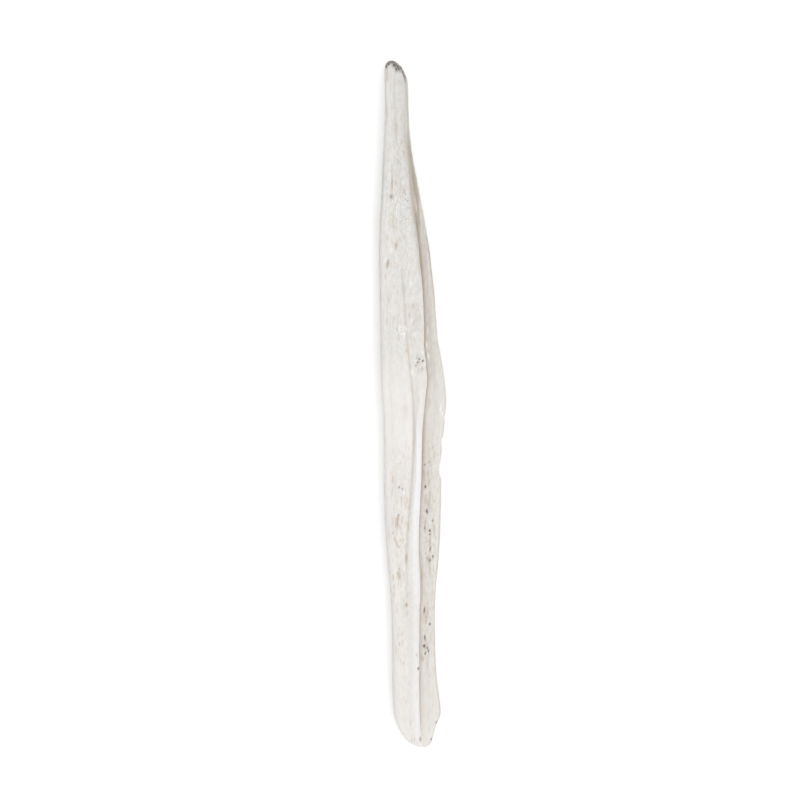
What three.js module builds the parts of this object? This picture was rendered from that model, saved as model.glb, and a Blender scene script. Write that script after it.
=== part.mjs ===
// Wolf baculum: a cleaned, dry bone, grown as one piece.
// Millimetres, +Z up. The bone lies on one flank with its base towards -Y and its tip towards +Y.
// Its back edge is on the -X side, and its groove opens on the +X side between two lips.
// The origin is under the middle of the bone, on the surface that it lies on.

import * as THREE from "three";

const { clamp, lerp } = THREE.MathUtils;

// Driving sizes
const boneLength = 96.9;
const farLipThickness = 1.1;
// The far lip's outer face: how far its foot is tucked in, and the most of the height below that it takes
const farLipTuck = 0.12;
const farLipMostShare = 0.62;
// The far lip's rounded top: its share of the way out from the far wall, and its rise per width
const farLipTopShare = 0.6;
const farLipSwell = 0.06;
const leastHeight = 0.01;
// How fast the tuck grows from nothing at both ends
const endGrowth = 2;
const bonePaint = { colour: 0xe7e4de, roughness: 0.6 };

// The two end points, where all the lines along the bone meet: [from the base, across, height]
const baseEnd = [0, 1.64, 1.55];
const tipEnd = [boneLength, -2.95, 3.15];

// Lines that run along the bone, each a list of [from the base, across, height]
// Back edge, the outline on the -X side
const backEdge = [
  [0.9, -0.6, 1.5], [2, -1.5, 1.62], [4, -2.4, 1.8], [7, -2.74, 1.95], [14, -2.8, 2.05],
  [21, -3.02, 2.15], [28, -3.58, 2.3], [35, -3.94, 2.4], [46, -4.05, 2.55], [52, -4.39, 2.6],
  [63, -4.57, 2.5], [71, -4.66, 2.45], [77.4, -4.36, 2.6], [84, -4.08, 2.8], [91, -3.88, 3.05],
  [95.5, -3.94, 3.2], [96.5, -3.73, 3.2], [96.8, -3.37, 3.18],
];
// Faint valley that parts the flank from the crest
const valley = [
  [0.9, 0.55, 2.6], [2, 0.1, 3.15], [4, -0.35, 3.65], [7, -0.55, 4.05], [14, -0.62, 4.45],
  [21, -0.76, 4.75], [30, -0.74, 5.1], [34, -0.4, 5.3], [40, 0.0, 5.5], [46, 0.15, 5.75],
  [51, -0.1, 5.95], [56, -0.65, 5.85], [63, -1.19, 5.3], [70, -1.75, 4.85], [77, -2.2, 4.6],
  [84, -2.5, 4.45], [91, -2.75, 4.25], [95.5, -2.95, 4.05], [96.5, -2.95, 3.75], [96.8, -2.95, 3.5],
];
// Crest, the highest line
const crest = [
  [0.9, 1.05, 2.5], [2, 0.85, 3.15], [4, 0.72, 3.85], [7, 0.65, 4.3], [14, 0.51, 4.75],
  [21, 0.37, 5.05], [28, 0.23, 5.35], [35, 0.37, 5.65], [39, 0.65, 5.8], [45, 0.62, 6.05],
  [49, 1.1, 6.2], [55, 1, 6.05], [63, 0.45, 5.45], [70, -0.2, 5], [77, -1.1, 4.75],
  [84, -1.75, 4.6], [91, -2.1, 4.4], [95.5, -2.3, 4.1], [96.5, -2.6, 3.75], [96.8, -2.8, 3.5],
];
// Near lip, the sharp edge over the groove
const nearLip = [
  [0.9, 1.3, 2.35], [2, 1.2, 2.85], [4, 1.08, 3.45], [7, 0.97, 3.95], [14, 0.93, 4.4],
  [20, 1, 4.7], [22.5, 1.08, 4.8], [28, 0.88, 5.05], [33, 0.98, 5.25], [37, 1.18, 5.4],
  [40, 1.26, 5.5], [45, 1.38, 5.75], [48, 1.62, 5.88], [52, 2.02, 5.85], [54.5, 1.78, 5.75],
  [56.5, 1.62, 5.6], [60, 1.58, 5.4], [64, 1.42, 5.05], [67, 1.18, 4.8], [70.3, 0.85, 4.6],
  [73.8, 0.4, 4.45], [77.4, -0.1, 4.35], [81.6, -0.38, 4.2], [86, -0.98, 4.05],
  [91, -0.98, 3.85], [95.5, -1.6, 3.65], [96.5, -2.15, 3.5], [96.8, -2.5, 3.38],
];
// Near wall of the groove, tucked under the near lip
const nearWall = [
  [0.9, 1.45, 2.2], [2, 1.25, 2.65], [4, 1.08, 3.1], [7, 0.85, 3.5], [14, 0.55, 3.75],
  [21, 0.45, 4], [28, 0.35, 4.25], [35, 0.45, 4.45], [40, 0.55, 4.55], [45, 0.7, 4.75],
  [50, 1.1, 4.9], [56, 1, 4.65], [63, 0.8, 4.15], [67, 0.8, 3.9], [70.3, 0.65, 3.75],
  [73.8, 0.5, 3.6], [77.4, 0.12, 3.6], [81.6, -0.18, 3.75], [86, -0.76, 3.72], [91, -0.84, 3.6],
  [95.5, -1.5, 3.48], [96.5, -2.08, 3.4], [96.8, -2.46, 3.3],
];
// Back of the groove, the line that lies furthest under the near lip
const grooveBack = [
  [0.9, 1.65, 2.1], [2, 1.45, 2.45], [4, 1.22, 2.75], [7, 0.9, 2.9], [14, 0.45, 2.9],
  [21, 0.3, 2.95], [28, 0.15, 3.05], [35, 0.18, 3.15], [40, 0.22, 3.2], [45, 0.5, 3.25],
  [50, 0.95, 3.35], [56, 0.8, 3.15], [63, 0.66, 2.85], [67, 0.76, 2.7], [70.3, 0.78, 2.65],
  [73.8, 0.66, 2.7], [77.4, 0.46, 2.8], [81.6, 0.03, 3.25], [86, -0.6, 3.4], [91, -0.77, 3.4],
  [95.5, -1.44, 3.35], [96.5, -2.04, 3.3], [96.8, -2.43, 3.25],
];
// Lowest line of the far wall, which rises from here to the far lip
const farWall = [
  [0.9, 2, 1.9], [2, 2, 2.12], [4, 2, 2.25], [7, 1.9, 2.3], [14, 1.6, 2.28], [21, 1.6, 2.35],
  [28, 1.65, 2.45], [35, 1.8, 2.6], [40, 1.9, 2.7], [45, 2.1, 2.75], [50, 2.5, 2.75],
  [56, 2.2, 2.52], [63, 1.95, 2.38], [67, 1.75, 2.4], [70.3, 1.5, 2.47], [73.8, 1.2, 2.57],
  [77.4, 0.82, 2.7], [81.6, 0.18, 2.95], [86, -0.46, 3.12], [91, -0.71, 3.2],
  [95.5, -1.38, 3.25], [96.5, -2, 3.2], [96.8, -2.4, 3.2],
];
// Far lip, the outline on the +X side
const farLip = [
  [0.6, 2.6, 1.5], [2.1, 3.05, 1.75], [3.4, 3.4, 1.9], [4.2, 3.77, 1.95], [5.1, 3.89, 2],
  [6.8, 3.73, 2.05], [9.6, 3.36, 2.1], [14, 3.12, 2.15], [20.9, 3.16, 2.2], [28, 3.68, 2.25],
  [35.6, 3.92, 2.3], [41.4, 4, 2.35], [45, 4.36, 2.4], [48.4, 4.64, 2.4], [51, 4.53, 2.4],
  [54.8, 4.02, 2.35], [57.3, 3.54, 2.35], [59.7, 3.33, 2.35], [63.3, 3.09, 2.4],
  [70.3, 2.29, 2.5], [77.4, 1.11, 2.7], [83, 0.06, 2.95], [87.2, -0.45, 3.05],
  [93.4, -0.69, 3.1], [94.3, -0.8, 3.1], [95.7, -1.35, 3.15], [96.5, -1.99, 3.15],
  [96.8, -2.4, 3.15],
];

// Flank between the back edge and the valley: [share of the way across, share of the way up]
const flankShape = [[0.025, 0.44], [0.085, 0.77], [0.3, 0.93], [0.68, 0.986]];
// Underside between the far lip and the back edge: [share of the way across, share of the way down]
const undersideShape = [[0.28, 0.93], [0.5, 1.04], [0.76, 0.96], [0.95, 0.5]];
const undersideMiddle = 0.5;
// Height of the underside: [from the base, height]. Below zero it is cut flat by the surface it lies on.
const undersideHeight = [
  [0, 1.55], [0.9, 0.75], [2, 0.5], [4, 0.28], [8, 0.06], [12, -0.06], [20, -0.12], [46, -0.12],
  [57, -0.04], [63, 0.22], [70, 0.62], [77, 1.02], [84, 1.32], [91, 1.72], [95.5, 2.0], [96.5, 2.45],
  [96.8, 2.75], [boneLength, 3.15],
];

// Chips in the far lip: [from the base, depth, half width]
const lipChips = [[46.7, 0.12, 0.45], [43.3, 0.22, 0.7], [39.3, 0.36, 1.1], [38.0, -0.05, 0.6]];
// Low lumps on the upper side: [from the base, across, height, half length, half width]
const lumps = [
  [47.8, 3.7, 0.06, 1.1, 0.6], [54.6, 1.35, 0.14, 0.8, 0.5], [52.6, 0.9, -0.08, 0.9, 0.6],
  [57.2, 0.5, 0.09, 1.1, 0.6], [60.8, 0.9, -0.08, 1, 0.6], [63.6, 0.2, 0.07, 1.3, 0.7],
  [66.8, -0.4, -0.06, 1.2, 0.6], [34.2, 2.3, -0.05, 1.4, 0.4], [27.5, 2.35, -0.05, 1.6, 0.4],
  [19.5, 1.9, -0.05, 1.5, 0.35], [32, -1.9, -0.06, 2.2, 0.6], [36.5, -1.7, 0.05, 1.2, 0.5],
  [26, -2, -0.05, 1.8, 0.5],
];

// Lumps raise everything down to this far below the far lip
const lumpReach = 0.05;

// How finely the bone is faceted: facets between each line and the next around the bone
const facetsAround = [2, 2, 3, 2, 2, 3, 2, 2, 2, 3, 2, 2, 2, 3, 2, 2, 2, 2];
// Rings along the bone: [up to this distance from the base, number of rings to get there]
const ringPlan = [[5, 11], [37, 28], [58, 36], [91, 28], [boneLength, 13]];

// An even measure along the bone that runs fast near both ends, so that lines meet there in a round end
function easedDistance(along) {
  return Math.acos(1 - 2 * clamp(along / boneLength, 0, 1));
}

// Reads a list of points at a distance from the base, with a smooth curve through them
function readLine(points, along, column) {
  const last = points.length - 1;
  const here = easedDistance(along);
  const places = points.map((point) => easedDistance(point[0]));
  let left = 0;
  while (left < last - 1 && here > places[left + 1]) left += 1;
  const slopeAt = (index) => {
    const before = Math.max(index - 1, 0);
    const after = Math.min(index + 1, last);
    return (points[after][column] - points[before][column]) / (places[after] - places[before]);
  };
  const span = places[left + 1] - places[left];
  const share = (here - places[left]) / span;
  const square = share * share;
  const cube = square * share;
  return (
    points[left][column] * (2 * cube - 3 * square + 1) +
    slopeAt(left) * span * (cube - 2 * square + share) +
    points[left + 1][column] * (3 * square - 2 * cube) +
    slopeAt(left + 1) * span * (cube - square)
  );
}

function pointOn(line, along) {
  const whole = [baseEnd, ...line, tipEnd];
  return new THREE.Vector2(readLine(whole, along, 1), readLine(whole, along, 2));
}

// A smooth hump of height 1 at zero
function hump(distance) {
  return Math.exp(-distance * distance);
}

function chipAt(along) {
  return lipChips.reduce(
    (sum, [place, depth, halfWidth]) => sum + depth * hump((along - place) / halfWidth),
    0,
  );
}

function lumpAt(along, across) {
  return lumps.reduce(
    (sum, [place, side, height, halfLength, halfWidth]) =>
      sum + height * hump((along - place) / halfLength) * hump((across - side) / halfWidth),
    0,
  );
}

// The lines in their order round the bone at one place: over the flank to the crest, into the groove,
// out along the far wall to the far lip, and back underneath
function guidePoints(along) {
  const back = pointOn(backEdge, along);
  const low = pointOn(valley, along);
  const lip = pointOn(farLip, along);
  lip.x -= chipAt(along);
  const flank = flankShape.map(
    ([across, up]) => new THREE.Vector2(lerp(back.x, low.x, across), lerp(back.y, low.y, up)),
  );
  const wall = pointOn(farWall, along);
  const lipTop = wall.clone().lerp(lip, farLipTopShare);
  lipTop.y += farLipSwell * (lip.x - wall.x);
  const floorHeight = readLine(undersideHeight, along, 1);
  const tuck = farLipTuck * Math.min(1, Math.sin(easedDistance(along)) * endGrowth);
  const edgeShare = farLipThickness / Math.max(lip.y - floorHeight, leastHeight);
  const edgeHeight = lerp(lip.y, floorHeight, Math.min(farLipMostShare, edgeShare));
  const underside = undersideShape.map(([across, down]) => {
    const sideHeight = across > undersideMiddle ? back.y : lip.y;
    return new THREE.Vector2(lerp(lip.x, back.x, across), lerp(sideHeight, floorHeight, down));
  });
  return [
    back,
    ...flank,
    low,
    pointOn(crest, along),
    pointOn(nearLip, along),
    pointOn(nearWall, along),
    pointOn(grooveBack, along),
    wall,
    lipTop,
    lip,
    new THREE.Vector2(lip.x - tuck, edgeHeight),
    ...underside,
  ];
}

// One closed ring of surface points at a distance from the base
function sectionRing(along) {
  const guides = guidePoints(along).map((point) => new THREE.Vector3(point.x, 0, point.y));
  const curve = new THREE.CatmullRomCurve3(guides, true, "centripetal");
  const ring = [];
  guides.forEach((_, index) => {
    const steps = facetsAround[index];
    for (let step = 0; step < steps; step += 1) {
      const point = curve.getPoint((index + step / steps) / guides.length);
      const onTop = point.z > pointOn(farLip, along).y - lumpReach;
      const lift = onTop ? lumpAt(along, point.x) : 0;
      ring.push(new THREE.Vector3(point.x, along, Math.max(0, point.z + lift)));
    }
  });
  return ring;
}

// Distances of the rings from the base, closer together where the outline turns faster
function ringPlaces() {
  const places = [];
  let from = 0;
  ringPlan.forEach(([upTo, count]) => {
    const start = easedDistance(from);
    const end = easedDistance(upTo);
    for (let step = 1; step <= count; step += 1) {
      const angle = lerp(start, end, step / count);
      places.push((boneLength * (1 - Math.cos(angle))) / 2);
    }
    from = upTo;
  });
  return places.slice(0, -1);
}

// Skins the rings and closes both ends to a point
function skinRings(rings, firstPoint, lastPoint) {
  const around = rings[0].length;
  const points = [firstPoint, ...rings.flat(), lastPoint];
  const corner = (ring, side) => 1 + ring * around + (side % around);
  const last = points.length - 1;
  const faces = [];
  for (let side = 0; side < around; side += 1) {
    faces.push(0, corner(0, side + 1), corner(0, side));
    faces.push(last, corner(rings.length - 1, side), corner(rings.length - 1, side + 1));
    for (let ring = 0; ring < rings.length - 1; ring += 1) {
      const [a, b] = [corner(ring, side), corner(ring, side + 1)];
      const [c, d] = [corner(ring + 1, side), corner(ring + 1, side + 1)];
      faces.push(a, b, c, b, d, c);
    }
  }
  const geometry = new THREE.BufferGeometry();
  const numbers = points.flatMap((point) => point.toArray());
  geometry.setAttribute("position", new THREE.Float32BufferAttribute(numbers, 3));
  geometry.setIndex(faces);
  return geometry;
}

function makeBone() {
  const rings = ringPlaces().map(sectionRing);
  const endPoint = ([along, across, height]) => new THREE.Vector3(across, along, height);
  const geometry = skinRings(rings, endPoint(baseEnd), endPoint(tipEnd));
  geometry.computeBoundingBox();
  const { min, max } = geometry.boundingBox;
  geometry.translate(-(min.x + max.x) / 2, -(min.y + max.y) / 2, -min.z);
  geometry.computeVertexNormals();
  const material = new THREE.MeshStandardMaterial({
    color: bonePaint.colour,
    roughness: bonePaint.roughness,
    metalness: 0,
  });
  const bone = new THREE.Mesh(geometry, material);
  bone.name = "baculum";
  return bone;
}

const group = new THREE.Group();
group.add(makeBone());

export default group;
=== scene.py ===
import bpy
import numpy as np
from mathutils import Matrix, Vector, noise


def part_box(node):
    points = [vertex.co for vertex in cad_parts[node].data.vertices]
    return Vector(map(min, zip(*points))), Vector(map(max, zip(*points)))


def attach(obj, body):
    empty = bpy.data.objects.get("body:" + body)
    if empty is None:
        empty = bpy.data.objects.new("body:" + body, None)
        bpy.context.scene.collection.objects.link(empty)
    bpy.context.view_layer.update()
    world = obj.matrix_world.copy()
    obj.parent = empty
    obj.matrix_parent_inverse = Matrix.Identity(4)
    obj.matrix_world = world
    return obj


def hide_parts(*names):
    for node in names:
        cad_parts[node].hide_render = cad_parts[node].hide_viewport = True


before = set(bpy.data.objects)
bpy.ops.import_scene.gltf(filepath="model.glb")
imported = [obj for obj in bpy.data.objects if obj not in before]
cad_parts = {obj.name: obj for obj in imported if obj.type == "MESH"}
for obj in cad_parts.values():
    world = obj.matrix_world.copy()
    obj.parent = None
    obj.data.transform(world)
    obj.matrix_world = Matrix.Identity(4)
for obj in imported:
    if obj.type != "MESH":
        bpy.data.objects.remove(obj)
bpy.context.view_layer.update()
mm = 0.001
tinyGap = 1e-12    # guards against dividing by zero
tinyLength = 1e-9
print("frame loaded")

# Shape of the bone in millimetres, the same lines as the solid: [from the base end, across, height]
boneShape = {
    "length": 96.9,
    "baseEnd": [0, 1.64, 1.55],
    "tipEnd": [96.9, -2.95, 3.15],
    "backEdge": [
        [0.9, -0.6, 1.5], [2, -1.5, 1.62], [4, -2.4, 1.8], [7, -2.74, 1.95], [14, -2.8, 2.05],
        [21, -3.02, 2.15], [28, -3.58, 2.3], [35, -3.94, 2.4], [46, -4.05, 2.55], [52, -4.39, 2.6],
        [63, -4.57, 2.5], [71, -4.66, 2.45], [77.4, -4.36, 2.6], [84, -4.08, 2.8], [91, -3.88, 3.05],
        [95.5, -3.94, 3.2], [96.5, -3.73, 3.2], [96.8, -3.37, 3.18],
    ],
    "valley": [
        [0.9, 0.55, 2.6], [2, 0.1, 3.15], [4, -0.35, 3.65], [7, -0.55, 4.05], [14, -0.62, 4.45],
        [21, -0.76, 4.75], [30, -0.74, 5.1], [34, -0.4, 5.3], [40, 0.0, 5.5], [46, 0.15, 5.75],
        [51, -0.1, 5.95], [56, -0.65, 5.85], [63, -1.19, 5.3], [70, -1.75, 4.85], [77, -2.2, 4.6],
        [84, -2.5, 4.45], [91, -2.75, 4.25], [95.5, -2.95, 4.05], [96.5, -2.95, 3.75], [96.8, -2.95, 3.5],
    ],
    "crest": [
        [0.9, 1.05, 2.5], [2, 0.85, 3.15], [4, 0.72, 3.85], [7, 0.65, 4.3], [14, 0.51, 4.75],
        [21, 0.37, 5.05], [28, 0.23, 5.35], [35, 0.37, 5.65], [39, 0.65, 5.8], [45, 0.62, 6.05],
        [49, 1.1, 6.2], [55, 1, 6.05], [63, 0.45, 5.45], [70, -0.2, 5], [77, -1.1, 4.75],
        [84, -1.75, 4.6], [91, -2.1, 4.4], [95.5, -2.3, 4.1], [96.5, -2.6, 3.75],
        [96.8, -2.8, 3.5],
    ],
    "nearLip": [
        [0.9, 1.3, 2.35], [2, 1.2, 2.85], [4, 1.08, 3.45], [7, 0.97, 3.95], [14, 0.93, 4.4],
        [20, 1, 4.7], [22.5, 1.08, 4.8], [28, 0.88, 5.05], [33, 0.98, 5.25], [37, 1.18, 5.4],
        [40, 1.26, 5.5], [45, 1.38, 5.75], [48, 1.62, 5.88], [52, 2.02, 5.85], [54.5, 1.78, 5.75],
        [56.5, 1.62, 5.6], [60, 1.58, 5.4], [64, 1.42, 5.05], [67, 1.18, 4.8], [70.3, 0.85, 4.6],
        [73.8, 0.4, 4.45], [77.4, -0.1, 4.35], [81.6, -0.38, 4.2], [86, -0.98, 4.05], [91, -0.98, 3.85],
        [95.5, -1.6, 3.65], [96.5, -2.15, 3.5], [96.8, -2.5, 3.38],
    ],
    "nearWall": [
        [0.9, 1.45, 2.2], [2, 1.25, 2.65], [4, 1.08, 3.1], [7, 0.85, 3.5], [14, 0.55, 3.75],
        [21, 0.45, 4], [28, 0.35, 4.25], [35, 0.45, 4.45], [40, 0.55, 4.55], [45, 0.7, 4.75],
        [50, 1.1, 4.9], [56, 1, 4.65], [63, 0.8, 4.15], [67, 0.8, 3.9], [70.3, 0.65, 3.75],
        [73.8, 0.5, 3.6], [77.4, 0.12, 3.6], [81.6, -0.18, 3.75], [86, -0.76, 3.72],
        [91, -0.84, 3.6], [95.5, -1.5, 3.48], [96.5, -2.08, 3.4], [96.8, -2.46, 3.3],
    ],
    "grooveBack": [
        [0.9, 1.65, 2.1], [2, 1.45, 2.45], [4, 1.22, 2.75], [7, 0.9, 2.9], [14, 0.45, 2.9],
        [21, 0.3, 2.95], [28, 0.15, 3.05], [35, 0.18, 3.15], [40, 0.22, 3.2], [45, 0.5, 3.25],
        [50, 0.95, 3.35], [56, 0.8, 3.15], [63, 0.66, 2.85], [67, 0.76, 2.7], [70.3, 0.78, 2.65],
        [73.8, 0.66, 2.7], [77.4, 0.46, 2.8], [81.6, 0.03, 3.25], [86, -0.6, 3.4],
        [91, -0.77, 3.4], [95.5, -1.44, 3.35], [96.5, -2.04, 3.3], [96.8, -2.43, 3.25],
    ],
    "farWall": [
        [0.9, 2, 1.9], [2, 2, 2.12], [4, 2, 2.25], [7, 1.9, 2.3], [14, 1.6, 2.28], [21, 1.6, 2.35],
        [28, 1.65, 2.45], [35, 1.8, 2.6], [40, 1.9, 2.7], [45, 2.1, 2.75], [50, 2.5, 2.75],
        [56, 2.2, 2.52], [63, 1.95, 2.38], [67, 1.75, 2.4], [70.3, 1.5, 2.47], [73.8, 1.2, 2.57],
        [77.4, 0.82, 2.7], [81.6, 0.18, 2.95], [86, -0.46, 3.12], [91, -0.71, 3.2], [95.5, -1.38, 3.25],
        [96.5, -2, 3.2], [96.8, -2.4, 3.2],
    ],
    "farLip": [
        [0.6, 2.6, 1.5], [2.1, 3.05, 1.75], [3.4, 3.4, 1.9], [4.2, 3.77, 1.95], [5.1, 3.89, 2],
        [6.8, 3.73, 2.05], [9.6, 3.36, 2.1], [14, 3.12, 2.15], [20.9, 3.16, 2.2], [28, 3.68, 2.25],
        [35.6, 3.92, 2.3], [41.4, 4, 2.35], [45, 4.36, 2.4], [48.4, 4.64, 2.4], [51, 4.53, 2.4],
        [54.8, 4.02, 2.35], [57.3, 3.54, 2.35], [59.7, 3.33, 2.35], [63.3, 3.09, 2.4], [70.3, 2.29, 2.5],
        [77.4, 1.11, 2.7], [83, 0.06, 2.95], [87.2, -0.45, 3.05], [93.4, -0.69, 3.1], [94.3, -0.8, 3.1],
        [95.7, -1.35, 3.15], [96.5, -1.99, 3.15], [96.8, -2.4, 3.15],
    ],
    "flankShape": [[0.025, 0.44], [0.085, 0.77], [0.3, 0.93], [0.68, 0.986]],
    "undersideShape": [[0.28, 0.93], [0.5, 1.04], [0.76, 0.96], [0.95, 0.5]],
    "undersideHeight": [
        [0, 1.55], [0.9, 0.75], [2, 0.5], [4, 0.28], [8, 0.06], [12, -0.06], [20, -0.12], [46, -0.12],
        [57, -0.04], [63, 0.22], [70, 0.62], [77, 1.02], [84, 1.32], [91, 1.72], [95.5, 2.0], [96.5, 2.45],
        [96.8, 2.75], [96.9, 3.15],
    ],
    "undersideMiddle": 0.5,
    "farLipThickness": 1.1,
    "farLipTuck": 0.12,
    "farLipMostShare": 0.62,
    "farLipTopShare": 0.6,
    "farLipSwell": 0.06,
    "leastHeight": 0.01,
    "endGrowth": 2,
    "lipChips": [[46.7, 0.12, 0.45], [43.3, 0.22, 0.7], [39.3, 0.36, 1.1], [38.0, -0.05, 0.6]],
    # points between each line and the next, going round over the flank, the groove and the underside
    "pointsAround": [6, 7, 14, 14, 9, 10, 9, 9, 7, 13, 14, 11, 6, 7, 6, 7, 6, 5],
    "guideNumbers": {"nearLip": 7, "farLip": 12, "outerEdge": 13},    # places of these lines in that round
    # rings along the bone: [up to this far from the base end, how many to get there]
    "rings": [[8, 58], [62, 412], [90, 97], [96.9, 48]],
    "bellyRound": 0.07,    # how round the underside stays where the solid is cut flat
    "bellyTop": 1,    # that rounding stops above this height
    "curveEase": 0.25,    # a quarter makes the section curve centripetal, as the solid's is
    "outlineRun": (1, 96, 800),    # from, to and number of places where the outline is read
}

# Relief on the skin of the bone, millimetres
boneRelief = {
    "swell": {"across": 2.6, "along": 9.0, "height": 0.06},
    "lumps": {"across": 0.95, "along": 2.6, "height": 0.05},
    "fibres": {"across": 0.3, "along": 5.0, "height": 0.026},
    "grain": {"across": 0.28, "along": 0.5, "height": 0.02},
    # low bumps and dents, the same as on the solid:
    # [from the base end, across, height, half length, half width]
    "bumps": [
        [47.8, 3.7, 0.06, 1.1, 0.6], [54.6, 1.35, 0.14, 0.8, 0.5], [52.6, 0.9, -0.08, 0.9, 0.6],
        [57.2, 0.5, 0.09, 1.1, 0.6], [60.8, 0.9, -0.08, 1, 0.6], [63.6, 0.2, 0.07, 1.3, 0.7],
        [66.8, -0.4, -0.06, 1.2, 0.6], [34.2, 2.3, -0.05, 1.4, 0.4], [27.5, 2.35, -0.05, 1.6, 0.4],
        [19.5, 1.9, -0.05, 1.5, 0.35], [32, -1.9, -0.06, 2.2, 0.6], [36.5, -1.7, 0.05, 1.2, 0.5],
        [26, -2, -0.05, 1.8, 0.5],
    ],
    # thin bright flakes: [from the base end, across, height, half length, half width, lean]
    "flakes": [
        [55.7, 1.38, 0.05, 0.3, 0.15, 0], [54.75, 1.17, 0.06, 0.13, 0.1, 0],
        [54.2, 1.75, 0.05, 0.25, 0.11, 0], [53.75, 0.9, 0.05, 0.18, 0.1, 0],
        [54.6, 0.5, 0.05, 0.16, 0.09, 0], [56.9, 2.0, 0.1, 0.5, 0.09, -0.1],
        [55.4, 2.18, 0.1, 0.5, 0.1, -0.1], [56.2, 1.9, 0.05, 0.4, 0.07, 0],
        [58.9, 2.1, 0.06, 0.5, 0.1, 0], [75.6, -2.25, 0.05, 0.9, 0.1, 0.05],
        [80.6, -3.3, 0.04, 0.6, 0.11, 0], [13.9, 1.95, 0.06, 0.2, 0.08, 0.3],
        [13.5, 2.4, 0.06, 0.16, 0.08, 0], [47.9, 3.95, 0.05, 0.6, 0.16, 0],
        [47.2, 4.12, 0.05, 0.3, 0.14, 0], [82.0, -3.23, 0.04, 0.6, 0.13, 0],
        [77.2, -2.4, 0.05, 0.7, 0.14, 0], [77.5, -0.9, 0.05, 0.28, 0.15, -0.4],
        [76.6, -0.45, 0.05, 0.24, 0.12, -0.5], [36.1, -1.2, 0.06, 0.22, 0.15, 0],
        [13.4, 2.06, 0.06, 0.2, 0.13, 0], [11.0, 0.95, 0.04, 0.16, 0.12, 0],
        [58.3, 0.3, 0.04, 0.3, 0.25, 0], [60.2, -0.2, 0.04, 0.4, 0.2, 0], [65.6, -0.3, 0.04, 0.5, 0.2, 0],
        [53.0, -0.1, 0.04, 0.5, 0.2, -0.2], [30.45, 2.13, 0.04, 0.2, 0.12, 0],
        [32.0, 2.3, 0.03, 0.5, 0.16, 0], [70.2, -3.0, 0.03, 0.5, 0.3, 0], [68.8, -3.8, 0.03, 0.4, 0.2, 0],
        [76.9, 0.43, 0.04, 1.1, 0.09, -0.18],
    ],
    # small round scar, with a rim that is broken by shallow gaps
    "scarRing": {
        "place": 58.9, "across": -1.4, "radius": 0.54, "rim": 0.12, "height": 0.07,
        "gaps": 3, "gapDepth": 0.35, "core": 0.16, "coreShare": 0.4, "paleShare": 0.6,
    },
    "pitDepth": 0.17,
    "streakDepth": 0.04,
    # hairlines drawn at random in patches of the surface
    "hairlines": [
        {"count": 70, "along": (12, 44), "across": (-3.4, -0.7), "dark": (0.1, 0.42)},
        {"count": 80, "along": (9, 44), "across": (1.5, 3.8), "dark": (0.12, 0.5)},
        {"count": 40, "along": (48, 68), "across": (-0.6, 1.7), "dark": (0.06, 0.26)},
        {"count": 60, "along": (46, 72), "across": (-4.3, -0.9), "dark": (0.05, 0.2)},
        {"count": 80, "along": (70, 96), "across": (-4.1, -0.8), "dark": (0.06, 0.26)},
        {"count": 26, "along": (2, 12), "across": (-2.2, 3.2), "dark": (0.05, 0.22)},
    ],
    # the same on the steep side behind the back edge, where across is the height
    "sideHairlines": [{"count": 110, "along": (4, 93), "across": (0.3, 4.2), "dark": (0.08, 0.34)}],
    "hairlineSize": {"halfLength": (0.18, 0.7), "halfWidth": (0.06, 0.1), "lean": (-0.08, 0.08)},
    "steepest": 0.35,    # marks drawn from above fade where the surface is steeper than this
    "sideFade": 2,    # how fast the hairlines of the steep side fade as it turns upward
    "markEdge": 1.4,    # how crisp the edge of a mark is
    "noiseShift": 3.7,    # keeps the layers of relief from repeating each other
    "seed": 7,
}

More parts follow.
